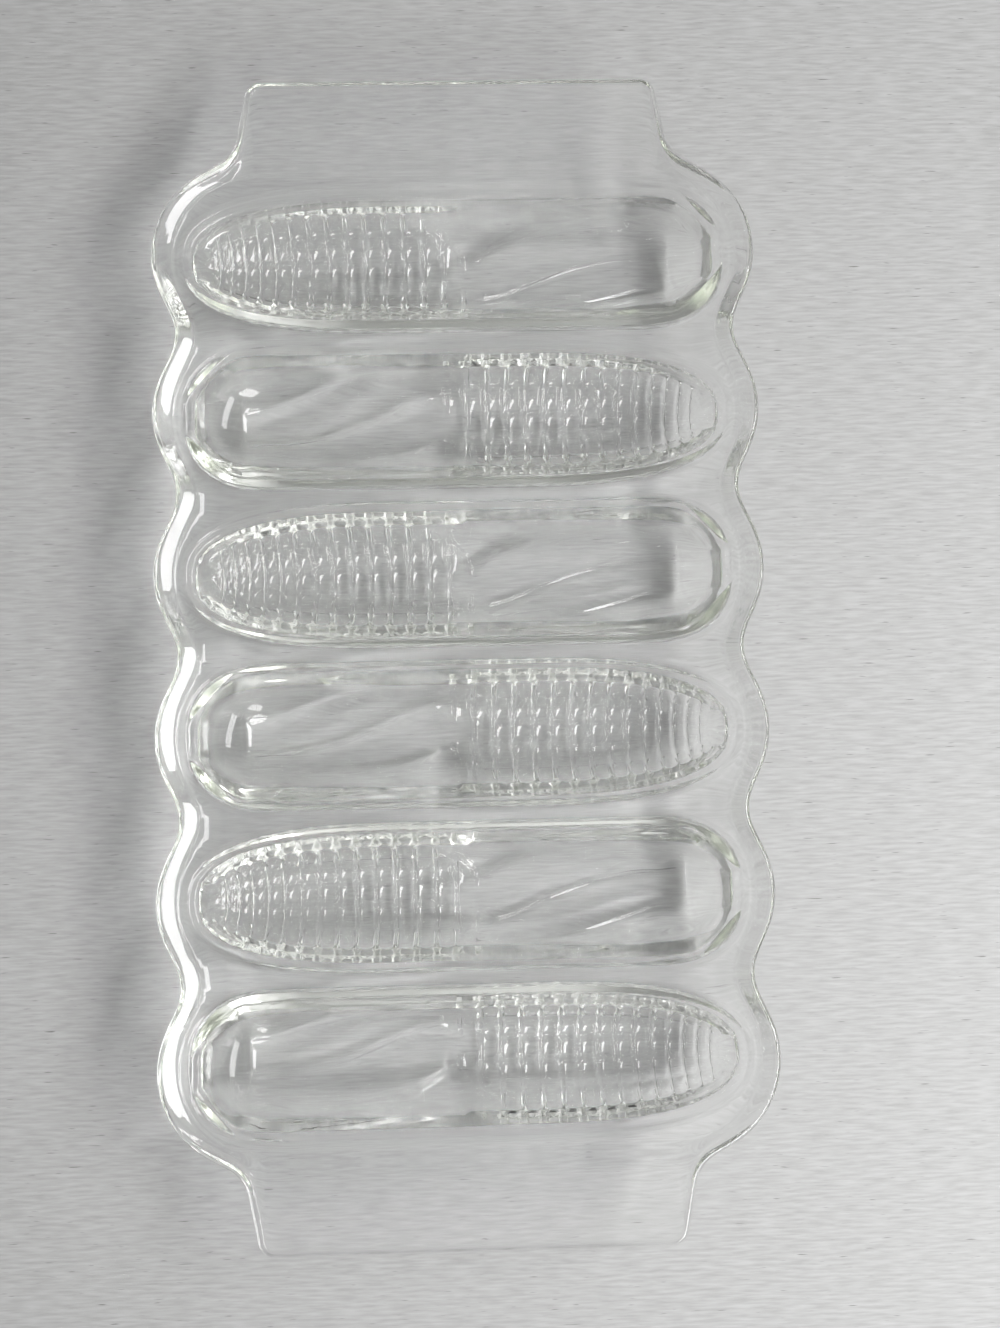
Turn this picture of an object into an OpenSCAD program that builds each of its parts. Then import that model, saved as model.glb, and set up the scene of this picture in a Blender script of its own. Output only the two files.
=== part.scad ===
// Cornstick pan of clear pressed glass: six cob shaped cups side by side, a scalloped rim
// and a flat handle at each end. X runs along the cups, Y along the row of cups, Z up.
// The origin is on the table, under the middle of the pan. The pan looks the same after half a turn.
// It is one pressing: each node is a region of the glass, and the regions meet face to face.

/* [Pan] */
// Distance between the centre lines of neighbouring cups
cup_pitch = 43.3; // [41:0.1:48]
// Height from the table to the top of the rim
pan_height = 25; // [24:0.1:28]
// Thickness of the rim and of the handles
rim_thickness = 5; // [4:0.1:6]
// How far the deck between the cups lies below the rim
deck_drop = 2.5; // [1.5:0.1:3.5]
// Thickness of the deck between the cups
web_thickness = 4.5; // [3.5:0.1:5]

/* [Cups] */
// Length of a cup at its mouth
cup_length = 147; // [140:0.5:155]
// Width of a cup at its mouth
cup_width = 37.2; // [35:0.1:38]
// Thickness of the glass under the middle of a cup
floor_thickness = 4.5; // [4:0.1:6]
// Width of the cob bed, over the kernels
cob_width = 27.8; // [25:0.1:29]
// Height from the deep end of the kernels to the edge of the cob bed
cob_rise = 11.9; // [11:0.1:13]
// How much nearer the middle the stalk's end of the mouth lies than the tip's end
stalk_setback = 0.5; // [0.3:0.1:3]
// Length of the sloping face between the stalk's cut end and the mouth
stalk_face_length = 2.5; // [1.5:0.1:4]
// Width of the flat end of the mouth, at the stalk
stalk_mouth_width = 10.6; // [8:0.1:13]
// Length of the slanted corners of the mouth, at the stalk
stalk_corner_length = 11.5; // [9:0.1:14]
// Length of the rounded end of the mouth, at the tip
tip_round_length = 53.5; // [45:0.5:60]
// Width of the underside of a cup where it meets the deck
belly_width = 37.6; // [36:0.1:39]

/* [Kernels] */
// Width of the first column of kernels at the tip
first_kernel_length = 2.6; // [2:0.1:3]
// Width that the columns of kernels grow to, towards the husk
last_kernel_length = 5.9; // [5:0.1:6]
// Depth of a kernel below the ridges round it
kernel_depth = 0.9; // [0.4:0.1:1.2]
// Distance from the tip of the mouth to the first ridge
kernel_start = 6.3; // [5:0.1:8]

/* [Husk] */
// Distance from the mouth's end to the root of the stalk, where the husk leaves end
stalk_length = 13; // [11:0.1:16]
// Depth of a husk leaf below the leaf that it covers
leaf_step = 0.8; // [0.4:0.1:1.2]
// Height of the small step at the root of the stalk
stalk_step = 1; // [0.5:0.1:1.5]
// Height of the stalk's cut end above the floor of the cup
stalk_rise = 12; // [10:0.1:13]

/* [Rim] */
// Width of the rim's flat top, from its inner edge to the outline
rim_width = 4.2; // [3.5:0.1:6]
// Width of the slope from the rim down to the deck
slope_width = 3.2; // [2.5:0.1:4.5]
// Least width of the deck between a mouth and the slope
deck_margin = 0.5; // [0.4:0.1:1.5]
// How far the waists of the outline lie inside its bulges
scallop_depth = 6.25; // [4:0.05:7]
// Rounding of the rim's outer edge
edge_radius = 2.2; // [1:0.1:2.4]
// Radius of the four corners of the outline
corner_radius = 25.5; // [24:0.1:27]

/* [Handles] */
// Length of a handle beyond the rim's inner edge
handle_reach = 25.4; // [22:0.1:32]
// Width of a handle where its sides leave the throats
handle_width = 116.4; // [108:0.1:118]
// Lean of the handle's sides
handle_lean = 11; // [6:1:14]
// Angle on the end bulge where the throat begins
throat_angle = 62; // [58:1:64]
// Radius of the throats beside a handle
throat_radius = 10; // [7:0.1:11]
// Radius of the handle's corners
handle_corner_radius = 4.5; // [3:0.1:6]

/* [Hidden] */
cups = 6;

// Heights of the deck, its underside, the cob bed's floor and the bed's edge
deck_z = pan_height - deck_drop;
under_z = deck_z - web_thickness;
floor_z = floor_thickness;
bed_z = floor_z + cob_rise;

// Where the rounded tip and the slanted corners of the mouth begin, and the two ends
tip_x = cup_length / 2;
stalk_x = stalk_setback - cup_length / 2;
tip_round_x = tip_x - tip_round_length;
stalk_corner_x = stalk_x + stalk_corner_length;
taper_share = 0.75;
taper_x = taper_share * stalk_corner_x;

// The inner edge of the deck, the rim's inner edge and the outline, at a bulge
deck_x = tip_x + deck_margin;
slope_x = deck_x + slope_width;
rim_x = slope_x + rim_width;
// The same three lines at a handle
end_cup_y = (cups - 1) / 2 * cup_pitch;
deck_y = end_cup_y + cup_width / 2 + deck_margin;
slope_y = deck_y + slope_width;
handle_y = slope_y + handle_reach;
// Centre of the four rounded corners
corner_x = rim_x - corner_radius;

// Shape of the round ends, of the scallops and of the rows of kernels
round_power = 2.5;
waist_lag_share = 0.065;
row_angle = 32;
bed_angle = 80;
rows = 5;
columns = 14;
scallop_steps = 4;
corner_steps = 4;

// Growth of the kernels from the tip, in columns
kernel_growth = 5.5;
kernel_x0 = tip_x - kernel_start;
function kernel_step(k) =
    first_kernel_length + (last_kernel_length - first_kernel_length) * (1 - exp(-k / kernel_growth));
function kernel_line(k) = k <= 0 ? kernel_x0 : kernel_line(k - 1) - kernel_step(k - 1);
husk_x = kernel_line(columns);
stalk_root_x = stalk_x + stalk_length;

function mix(a, b, t) = a + (b - a) * t;
function round_end(t) = pow(1 - pow(min(1, max(0, t)), round_power), 1 / round_power);

// The mouth and the cob bed, as half widths at a place along the cup
corner_half_share = 0.94;
function mouth_half(x) =
    x > tip_round_x ? cup_width / 2 * round_end((x - tip_round_x) / (tip_x - tip_round_x))
    : x > taper_x ? cup_width / 2
    : x > stalk_corner_x
        ? cup_width / 2 * mix(1, corner_half_share, (taper_x - x) / (taper_x - stalk_corner_x))
    : mix(stalk_mouth_width / 2, cup_width / 2 * corner_half_share,
          (x - stalk_x) / stalk_corner_length);
bed_tip_share = 0.94;
bed_round_share = 0.22;
bed_tip_x = bed_tip_share * tip_x;
bed_round_x = bed_round_share * tip_x;
function bed_shape(x) = x > bed_round_x ? round_end((x - bed_round_x) / (bed_tip_x - bed_round_x)) : 1;
end_bed_share = 0.35;
stalk_bed_share = 0.5;
function bed_half(x) =
    x > bed_round_x ? max(cob_width / 2 * bed_shape(x), end_bed_share * mouth_half(x))
    : x > taper_x ? cob_width / 2
    : mouth_half(x) * mix(cob_width / cup_width, stalk_bed_share, (taper_x - x) / (taper_x - stalk_x));

// The stalk rises from its root to its cut end
stalk_end_x = stalk_x + stalk_face_length;
function stalk_lift(x) =
    x > stalk_root_x ? 0
    : stalk_step + (stalk_rise - stalk_step) * (stalk_root_x - x) / (stalk_root_x - stalk_end_x);

// Height of the bed's middle and of its edge at a place along the cup
function tip_climb(x) = x > bed_tip_x ? pow((x - bed_tip_x) / (tip_x - bed_tip_x), 2) : 0;
function floor_at(x) =
    x <= stalk_x ? deck_z
    : x > bed_tip_x ? mix(bed_z, deck_z, tip_climb(x))
    : floor_z + cob_rise * (1 - bed_shape(x)) + stalk_lift(x);
function edge_at(x) = x <= stalk_x ? deck_z : mix(max(bed_z, floor_at(x)), deck_z, tip_climb(x));

// Edges of the husk leaves: share of the husk's length, then share of the bed's half width
leaf_a_share = [[0, 0], [0.135, -0.33], [0.224, -0.525], [0.404, -0.75], [0.67, -0.9], [1, -0.86]];
leaf_b_share =
    [[0, 0.2], [0.108, 0.42], [0.22, 0.5], [0.4, 0.158], [0.58, -0.187], [0.76, -0.374], [1, -0.5]];
leaf_c_share =
    [[0, 0.84], [0.173, 0.6], [0.25, 0.56], [0.4, 0.23], [0.58, -0.12], [0.76, -0.31], [1, -0.42]];
leaf_d_share = [[0, 0.93], [0.35, 0.92], [0.573, 0.784], [0.752, 0.554], [0.887, 0.4], [1, 0.37]];
leaf_gap_share = 0.05;
// Depths of the leaves as shares of a leaf's step: at the middle of the deep leaf, then at both
// edges of the upper leaf, of the side leaf and of the band between the deep leaf and the mouth
deep_leaf_shares = [1, 0.3];
upper_leaf_shares = [0.1, 0.9];
side_leaf_shares = [0.2, 0.5];
near_leaf_shares = [0.5, 0];

// Lines across the bed. Each has a share of the bed's half width and a depth, as [share, depth].
lines = 3 * rows;
row_shares = [0, 0.24, 0.76];
function row_line(j) =
    let (row = floor(j / 3))
    (row - rows / 2 + row_shares[j % 3]) * row_angle;
function leaf_part(from, to, depths, t) = [mix(from, to, t), mix(depths[0], depths[1], t)];
function leaf_line(j, t) =
    let (a = lookup(t, leaf_a_share), b = lookup(t, leaf_b_share))
    let (c = max(b + leaf_gap_share, lookup(t, leaf_c_share)))
    let (d = lookup(t, leaf_d_share), e = d + leaf_gap_share)
    j <= 4 ? leaf_part(-1, a - leaf_gap_share, near_leaf_shares, j / 4)
    : j <= 9 ? [mix(a, b, (j - 5) / 4), deep_leaf_shares[0] + deep_leaf_shares[1] * sin(45 * (j - 5))]
    : j <= 12 ? leaf_part(c, d, upper_leaf_shares, (j - 10) / 2)
    : leaf_part(e, 1, side_leaf_shares, (j - 13) / 2);

// A point of the bed: at a place along the cup, an angle round the cob and a depth below the ridges
function bed_point(x, angle, depth) =
    let (half = bed_half(x), low = floor_at(x), high = edge_at(x))
    [x, half * sin(angle) / sin(bed_angle) + depth * sin(angle),
     low + (high - low) * (1 - cos(angle)) / (1 - cos(bed_angle)) - depth * cos(angle)];
function leaf_point(x, share, depth) = bed_point(x, asin(share * sin(bed_angle)), depth);

// The wall from the bed up to the mouth, on one side
wall_half_share = 0.5;
wall_rise_share = 0.6;
function wall_point(x, side, t) =
    let (half = mix(bed_half(x), mouth_half(x), t == 1 ? 1 : wall_half_share))
    [x, side * half, mix(edge_at(x), deck_z, t == 1 ? 1 : wall_rise_share)];

// One line of points across the cup, from mouth edge to mouth edge
function across(x, inner) = concat(
    [wall_point(x, -1, 1), wall_point(x, -1, 0)],
    inner,
    [wall_point(x, 1, 0), wall_point(x, 1, 1)]);
column_shares = [0, 0.22, 0.78];
function kernel_across(k, part) =
    let (x = mix(kernel_line(k), kernel_line(k + 1), column_shares[part]))
    across(x, [for (j = [0 : lines])
        bed_point(x, row_line(j), part > 0 && j % 3 > 0 ? kernel_depth : 0)]);
function husk_across(x) =
    let (t = (husk_x - x) / (husk_x - stalk_root_x))
    across(x, [for (j = [0 : lines])
        let (line = leaf_line(j, min(1, t)))
        leaf_point(x, line[0], t > 1 ? 0 : line[1] * leaf_step)]);
function plain_across(x) =
    across(x, [for (j = [0 : lines]) bed_point(x, row_line(j), 0)]);

// Places of the lines along the cup, from the stalk to the tip
husk_steps = 12;
tip_shares = [0.3, 0.55, 0.75, 0.88, 0.96];
stalk_shares = [0.3, 0.65, 1];
step_run_share = 0.25;
cup_lines = concat(
    [plain_across(stalk_x)],
    [for (n = [len(stalk_shares) - 1 : -1 : 0])
        husk_across(mix(stalk_root_x, stalk_end_x, stalk_shares[n]))],
    [husk_across(stalk_root_x - step_run_share * stalk_step)],
    [for (n = [husk_steps : -1 : 1]) husk_across(mix(husk_x, stalk_root_x, n / husk_steps))],
    [plain_across(husk_x)],
    [for (k = [columns - 1 : -1 : 0])
        for (part = [2 : -1 : 0])
            kernel_across(k, part)],
    [for (share = tip_shares) plain_across(mix(kernel_x0, tip_x, share))]);

// Underside of a cup, from the stalk to the tip
belly_margin = deck_margin / 2;
belly_tip_x = deck_x - belly_margin;
belly_round_share = 0.27;
belly_across = 12;
foot_share = 1.02;
belly_reach = under_z * (1 + foot_share * (1 / cos(180 / belly_across) - 1));
belly_stalk_share = 0.68;
foot_stalk_share = 0.61;
foot_tip_share = 0.3;
function belly_half(x) =
    let (start = x > 0 ? belly_round_share : belly_stalk_share)
    belly_width / 2 * round_end((abs(x) / belly_tip_x - start) / (1 - start));
function belly_depth(x) =
    let (start = x > 0 ? foot_tip_share : foot_stalk_share)
    belly_reach * round_end((abs(x) / belly_tip_x - start) / (1 - start));
belly_shares = [0.995, 0.97, 0.93, 0.87, 0.79, 0.68, 0.5, 0.25];
belly_places = concat(
    [for (share = belly_shares) -share * belly_tip_x], [0],
    [for (n = [len(belly_shares) - 1 : -1 : 0]) belly_shares[n] * belly_tip_x]);
belly_lines = [for (x = belly_places)
    [for (j = [0 : belly_across])
        let (angle = 180 * j / belly_across - 90)
        [x, belly_half(x) * sin(angle), max(0, under_z - belly_depth(x) * cos(angle))]]];

// The scallop: 0 at a bulge, 1 at a waist
function scallop(t) = (1 - cos(180 * (t - waist_lag_share * sin(180 * t)))) / 2;

// Edge of a cup's region, from the tip side round by +Y, then by -Y. Both ends are scalloped,
// and the two outer cups have a rounded far side.
function side_point(n) =
    let (t = n / scallop_steps)
    [deck_x - scallop_depth * scallop(t), t * cup_pitch / 2];
function corner_ray(angle, x, y) =
    1 / sqrt(pow(cos(angle) / (x - corner_x), 2) + pow(sin(angle) / (y - end_cup_y), 2));
corner_angles = concat(
    [for (n = [1 : corner_steps]) throat_angle * n / corner_steps], [(throat_angle + 90) / 2, 90]);
function corner_point(angle) =
    let (ray = corner_ray(angle, deck_x, deck_y))
    [corner_x + ray * cos(angle), ray * sin(angle)];
function half_edge(outer) = outer
    ? concat([[deck_x, 0]], [for (angle = corner_angles) corner_point(angle)])
    : [for (n = [0 : scallop_steps]) side_point(n)];
function region_edge(outer) =
    let (near = half_edge(false), far = half_edge(outer))
    concat(
        near,
        [for (n = [len(near) - 1 : -1 : 0]) [-near[n][0], near[n][1]]],
        [for (n = [1 : len(far) - 1]) [-far[n][0], -far[n][1]]],
        [for (n = [len(far) - 1 : -1 : 1]) [far[n][0], -far[n][1]]]);

// Triangles between two rows of points that both run towards +X
function strip(points, inner, outer, turned, i = 0, n = 0) =
    i + 1 == len(inner) && n + 1 == len(outer) ? []
    : let (step_in = n + 1 == len(outer)
           || (i + 1 < len(inner) && points[inner[i + 1]][0] < points[outer[n + 1]][0]))
      let (next = step_in ? inner[i + 1] : outer[n + 1])
      concat([turned ? [next, outer[n], inner[i]] : [inner[i], outer[n], next]],
             strip(points, inner, outer, turned, step_in ? i + 1 : i, step_in ? n : n + 1));

// One cup with the deck round it, as one closed skin
module cup_region(outer) {
    edge = region_edge(outer);
    turn = len(edge);
    half = 2 * (scallop_steps + 1);
    width = len(cup_lines[0]);
    count = len(cup_lines);
    bwidth = belly_across + 1;
    bcount = len(belly_lines);
    // first index of each group of points
    top = 0;
    tip = count * width;
    low = tip + 1;
    low_tip = low + bcount * bwidth;
    rim_top = low_tip + 2;
    rim_low = rim_top + turn;
    points = concat(
        [for (line = cup_lines) for (p = line) p],
        [[tip_x, 0, deck_z]],
        [for (line = belly_lines) for (p = line) p],
        [[-belly_tip_x, 0, under_z], [belly_tip_x, 0, under_z]],
        [for (p = edge) [p[0], p[1], deck_z]],
        [for (p = edge) [p[0], p[1], under_z]]);
    mouth_far = concat([for (i = [0 : count - 1]) i * width + width - 1], [tip]);
    mouth_near = concat([for (i = [0 : count - 1]) i * width], [tip]);
    belly_far = concat([low_tip], [for (i = [0 : bcount - 1]) low + i * bwidth + bwidth - 1],
                       [low_tip + 1]);
    belly_near = concat([low_tip], [for (i = [0 : bcount - 1]) low + i * bwidth], [low_tip + 1]);
    rim_far = [for (n = [half - 1 : -1 : 0]) n];
    rim_near = concat([for (n = [half - 1 : turn - 1]) n], [0]);
    faces = concat(
        [for (i = [0 : count - 2]) for (j = [0 : width - 2])
            let (a = top + i * width + j)
            each [[a, a + 1, a + width + 1], [a, a + width + 1, a + width]]],
        [for (j = [0 : width - 2]) let (a = (count - 1) * width + j) [a, a + 1, tip]],
        // the deck at the stalk, on the +Y side and on the -Y side
        [for (j = [0 : width - 2]) [rim_top + half - 1, j + 1, j]],
        strip(points, mouth_far, [for (n = rim_far) rim_top + n], false),
        strip(points, mouth_near, [for (n = rim_near) rim_top + n], true),
        // the upright edge
        [for (n = [0 : turn - 1])
            let (m = (n + 1) % turn)
            [rim_top + n, rim_top + m, rim_low + m, rim_low + n]],
        // the underside of the deck
        strip(points, belly_far, [for (n = rim_far) rim_low + n], true),
        strip(points, belly_near, [for (n = rim_near) rim_low + n], false),
        // the belly
        [for (i = [0 : bcount - 2]) for (j = [0 : bwidth - 2])
            let (a = low + i * bwidth + j)
            each [[a, a + bwidth + 1, a + 1], [a, a + bwidth, a + bwidth + 1]]],
        [for (j = [0 : bwidth - 2]) let (a = low + j) [a, a + 1, low_tip]],
        [for (j = [0 : bwidth - 2])
            let (a = low + (bcount - 1) * bwidth + j) [a + 1, a, low_tip + 1]]);
    polyhedron(points = points, faces = faces, convexity = 10);
}

// Cross section of the rim, from the deck's edge over the rim and back underneath
bead_limit_share = 0.45;
bead = min(edge_radius, bead_limit_share * rim_thickness);
bead_share = 0.3;
slope_share = 0.35;
function lay(p, z) = [p[0], p[1], z];
function section(deck, inner, outer, angle) =
    let (inward = [-cos(angle), -sin(angle)], bottom = pan_height - rim_thickness)
    [lay(deck, deck_z),
     lay((deck + inner) / 2, deck_z + deck_drop * slope_share),
     lay(inner, pan_height),
     lay(outer + inward * bead, pan_height),
     lay(outer + inward * bead * bead_share, pan_height - bead * bead_share),
     lay(outer, pan_height - bead),
     lay(outer, bottom + bead),
     lay(outer + inward * bead * bead_share, bottom + bead * bead_share),
     lay(outer + inward * bead, bottom),
     lay(inner, bottom),
     lay(deck, under_z)];

// Closed skin through a row of cross sections, going round the pan against the clock
module swept(sections) {
    width = len(sections[0]);
    count = len(sections);
    faces = concat(
        [for (i = [0 : count - 2]) for (j = [0 : width - 1])
            let (a = i * width + j, b = i * width + (j + 1) % width)
            each [[a, a + width, b + width], [a, b + width, b]]],
        [[for (j = [0 : width - 1]) j]],
        [[for (j = [width - 1 : -1 : 0]) (count - 1) * width + j]]);
    polyhedron(points = [for (s = sections) for (p = s) p], faces = faces, convexity = 10);
}

// Cross sections of the right rim: scallops between the two outer cups, then the rounded corners
wave = 2 * scallop_steps;
function scallop_section(n) =
    let (q = n % wave, t = (q <= scallop_steps ? q : wave - q) / scallop_steps)
    let (y = n * cup_pitch / wave - end_cup_y, inset = scallop_depth * scallop(t))
    section([deck_x - inset, y], [slope_x - inset, y], [rim_x - inset, y], 0);
function corner_section(angle, side) =
    let (way = [cos(angle), side * sin(angle)], base = [corner_x, side * end_cup_y])
    section(base + corner_ray(angle, deck_x, deck_y) * way,
            base + corner_ray(angle, slope_x, slope_y) * way,
            base + corner_radius * way, side * angle);
rim_sections = concat(
    [for (n = [corner_steps : -1 : 1]) corner_section(throat_angle * n / corner_steps, -1)],
    [for (n = [0 : (cups - 1) * wave]) scallop_section(n)],
    [for (n = [1 : corner_steps]) corner_section(throat_angle * n / corner_steps, 1)]);

// Outline of the far handle's right half: [place, angle of the outline's normal]
throat_start = [corner_x, end_cup_y] + corner_radius * [cos(throat_angle), sin(throat_angle)];
throat_x = handle_width / 2 + throat_radius * (cos(handle_lean) - cos(throat_angle));
throat_turn = [throat_x,
               throat_start[1] + (throat_start[0] - throat_x) / tan(throat_angle)];
throat_centre = throat_turn + throat_radius * [cos(throat_angle), sin(throat_angle)];
throat_end = throat_centre - throat_radius * [cos(handle_lean), sin(handle_lean)];
nook_y = handle_y - handle_corner_radius;
nook_x = throat_end[0]
    - (handle_corner_radius + (nook_y - throat_end[1]) * sin(handle_lean)) / cos(handle_lean);
throat_steps = 3;
nook_steps = 3;
handle_half = concat(
    [[throat_start, throat_angle]],
    [for (n = [0 : throat_steps])
        let (angle = mix(throat_angle, handle_lean, n / throat_steps))
        [throat_centre - throat_radius * [cos(angle), sin(angle)], angle]],
    [for (n = [0 : nook_steps])
        let (angle = mix(handle_lean, 90, n / nook_steps))
        [[nook_x, nook_y] + handle_corner_radius * [cos(angle), sin(angle)], angle]]);

// Where each of those sections starts, on the deck's edge and on the rim's inner edge
function on_corner(n, x, y) =
    let (angle = corner_angles[corner_steps - 1 + n], ray = corner_ray(angle, x, y))
    [corner_x + ray * cos(angle), end_cup_y + ray * sin(angle)];
function on_handle(n, x, y) = n <= 2
    ? on_corner(n, x, y)
    : [mix(corner_x, nook_x, (n - 2) / (len(handle_half) - 3)), y];
function flip(p) = [-p[0], p[1]];
function handle_section(n) =
    let (place = handle_half[n])
    section(on_handle(n, deck_x, deck_y), on_handle(n, slope_x, slope_y), place[0], place[1]);
function mirrored_section(n) =
    let (place = handle_half[n])
    section(flip(on_handle(n, deck_x, deck_y)), flip(on_handle(n, slope_x, slope_y)),
            flip(place[0]), 180 - place[1]);
handle_sections = concat(
    [for (n = [0 : len(handle_half) - 1]) handle_section(n)],
    [for (n = [len(handle_half) - 1 : -1 : 0]) mirrored_section(n)]);

glass = [0.83, 0.88, 0.84];
deep_glass = [0.76, 0.83, 0.78];

// Cups are counted from the far end. The kernels of the odd cups are on the left,
// those of the even cups on the right.
module cup(number) {
    translate([0, ((cups + 1) / 2 - number) * cup_pitch, 0])
        rotate([0, 0, number % 2 == 1 ? 180 : 0])
            cup_region(number == 1 || number == cups);
}

module cup_1() { color(glass) cup(1); }
module cup_2() { color(deep_glass) cup(2); }
module cup_3() { color(glass) cup(3); }
module cup_4() { color(deep_glass) cup(4); }
module cup_5() { color(glass) cup(5); }
module cup_6() { color(deep_glass) cup(6); }
module rim_right() { color(deep_glass) swept(rim_sections); }
module rim_left() { color(deep_glass) rotate([0, 0, 180]) swept(rim_sections); }
module handle_far() { color(glass) swept(handle_sections); }
module handle_near() { color(glass) rotate([0, 0, 180]) swept(handle_sections); }

cup_1();
cup_2();
cup_3();
cup_4();
cup_5();
cup_6();
rim_left();
rim_right();
handle_far();
handle_near();
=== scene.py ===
"""Cornstick pan of clear pressed glass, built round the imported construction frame.

One continuous skin of glass stands for all the regions of the pressing. It is made of flat
blanks that are pressed into form: a cob bed with its flared wall for each cup, a belly under
each cup, and one band for the rim and the handles. The flat deck between them is filled last.
"""

import math

import bpy
import numpy as np
from bpy.props import FloatProperty, FloatVectorProperty, IntProperty, PointerProperty
from mathutils import Euler, Matrix, Vector


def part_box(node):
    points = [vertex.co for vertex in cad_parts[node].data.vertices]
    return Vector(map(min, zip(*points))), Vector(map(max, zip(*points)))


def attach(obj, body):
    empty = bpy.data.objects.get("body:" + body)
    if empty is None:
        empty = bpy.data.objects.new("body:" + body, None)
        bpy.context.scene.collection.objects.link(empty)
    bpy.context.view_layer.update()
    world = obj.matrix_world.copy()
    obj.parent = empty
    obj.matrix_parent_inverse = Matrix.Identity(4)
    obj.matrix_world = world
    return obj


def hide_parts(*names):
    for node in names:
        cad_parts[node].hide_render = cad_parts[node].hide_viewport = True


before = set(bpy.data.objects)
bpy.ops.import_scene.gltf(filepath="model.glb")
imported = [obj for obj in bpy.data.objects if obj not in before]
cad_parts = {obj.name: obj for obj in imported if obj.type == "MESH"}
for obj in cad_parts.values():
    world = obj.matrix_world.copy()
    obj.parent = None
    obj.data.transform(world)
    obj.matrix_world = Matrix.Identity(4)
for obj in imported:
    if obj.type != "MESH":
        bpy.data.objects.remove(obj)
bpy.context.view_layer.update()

bl_info = {
    "name": "Cornstick pan",
    "version": (1, 0, 0),
    "blender": (4, 5, 0),
    "location": "View3D > Sidebar > Cornstick pan",
    "description": "Builds a pressed glass cornstick pan round its construction frame",
    "category": "Add Mesh",
}

MM = 0.001
PAN = "pan_glass"

# Places that the frame gives: the cups' rows, the deck, the rim and the handles
CUPS = sorted(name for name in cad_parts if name.startswith("cup_"))
CUP_BOXES = [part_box(name) for name in CUPS]
RIM_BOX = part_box("rim_right")
HANDLE_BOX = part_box("handle_far")
SECOND_CUP_Y = (CUP_BOXES[1][0].y + CUP_BOXES[1][1].y) / 2
THIRD_CUP_Y = (CUP_BOXES[2][0].y + CUP_BOXES[2][1].y) / 2
PITCH = SECOND_CUP_Y - THIRD_CUP_Y
END_CUP_Y = PITCH * (len(CUPS) - 1) / 2
DECK_X = CUP_BOXES[0][1].x
DECK_Z = CUP_BOXES[0][1].z
FOOT_Z = CUP_BOXES[0][0].z
RIM_X = RIM_BOX[1].x
RIM_Z = RIM_BOX[1].z
UNDER_Z = RIM_BOX[0].z
DECK_Y = CUP_BOXES[0][1].y
HANDLE_Y = HANDLE_BOX[1].y


def length(name, description, default):
    """A size in metres that a user can change."""
    return FloatProperty(name=name, description=description, default=default, unit="LENGTH", precision=5)


def count(name, description, default):
    """A number of like things that a user can change."""
    return IntProperty(name=name, description=description, default=default, min=8)


def linear(hex_colour):
    """An sRGB hex colour as linear light with alpha."""
    parts = [int(hex_colour[i : i + 2], 16) / 255 for i in (1, 3, 5)]
    return (*[p / 12.92 if p <= 0.04045 else ((p + 0.055) / 1.055) ** 2.4 for p in parts], 1.0)


def colour(name, description, hex_colour):
    """A colour that a user can change."""
    return FloatVectorProperty(name=name, description=description, default=linear(hex_colour),
                               size=4, min=0, max=1, subtype="COLOR")


class CupSizes(bpy.types.PropertyGroup):
    """Mouth, bed and belly of one cup."""

    tip: length("Tip", "From the middle of the pan to the mouth's round end", 73.5 * MM)
    stalk: length("Stalk end", "From the middle of the pan to the mouth's flat end", 73.0 * MM)
    width: length("Mouth width", "Width of a cup at its mouth", 37.2 * MM)
    tip_round: length("Round end", "Length of the rounded end of the mouth", 53.5 * MM)
    stalk_corner: length("Slanted corners", "Length of the slanted corners at the stalk", 11.5 * MM)
    stalk_width: length("Flat end", "Width of the mouth's flat end at the stalk", 10.6 * MM)
    floor: length("Floor thickness", "Glass under the middle of a cup", 4.5 * MM)
    cob_width: length("Cob width", "Width of the bed over the kernels", 27.8 * MM)
    cob_rise: length("Cob rise", "Height from the bed's middle to its edge", 11.9 * MM)
    mouth_edge: length("Mouth edge", "Rounding of the mouth's edge", 1.0 * MM)
    ledge: length("Ledge", "Flat strip between the kernels' ends and the cup's wall", 0.6 * MM)
    belly_width: length("Belly width", "Width of the underside where it meets the deck", 37.6 * MM)
    belly_end: length("Belly end", "From the middle of the pan to a belly's end", 72.9 * MM)
    belly_edge: length("Belly edge", "Rounding between a belly and the deck's underside", 2.5 * MM)


class KernelSizes(bpy.types.PropertyGroup):
    """Pockets that mould the kernels, and the bars between them."""

    columns: count("Columns", "Columns of kernels, with those under the husk", 16)
    start: length("First bar", "From the mouth's tip to the first bar", 6.3 * MM)
    first: length("First column", "Width of the first column at the tip", 2.6 * MM)
    last: length("Last column", "Width that the columns grow to", 5.9 * MM)
    depth: length("Depth", "Depth of a pocket below the bars", 1.8 * MM)
    bar: length("Bar", "Half width of the flat top of the bars across the cob", 0.15 * MM)
    wall: length("Pocket wall", "Width of a pocket's sloping side", 0.75 * MM)
    bead: length("Bead", "How far the bars swell where two of them cross", 0.55 * MM)
    arch: length("Arch", "Length of the arched end of an outer pocket", 2.6 * MM)
    row_bar: length("Row bar", "Half width of the small bars along the cob", 0.3 * MM)


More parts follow.
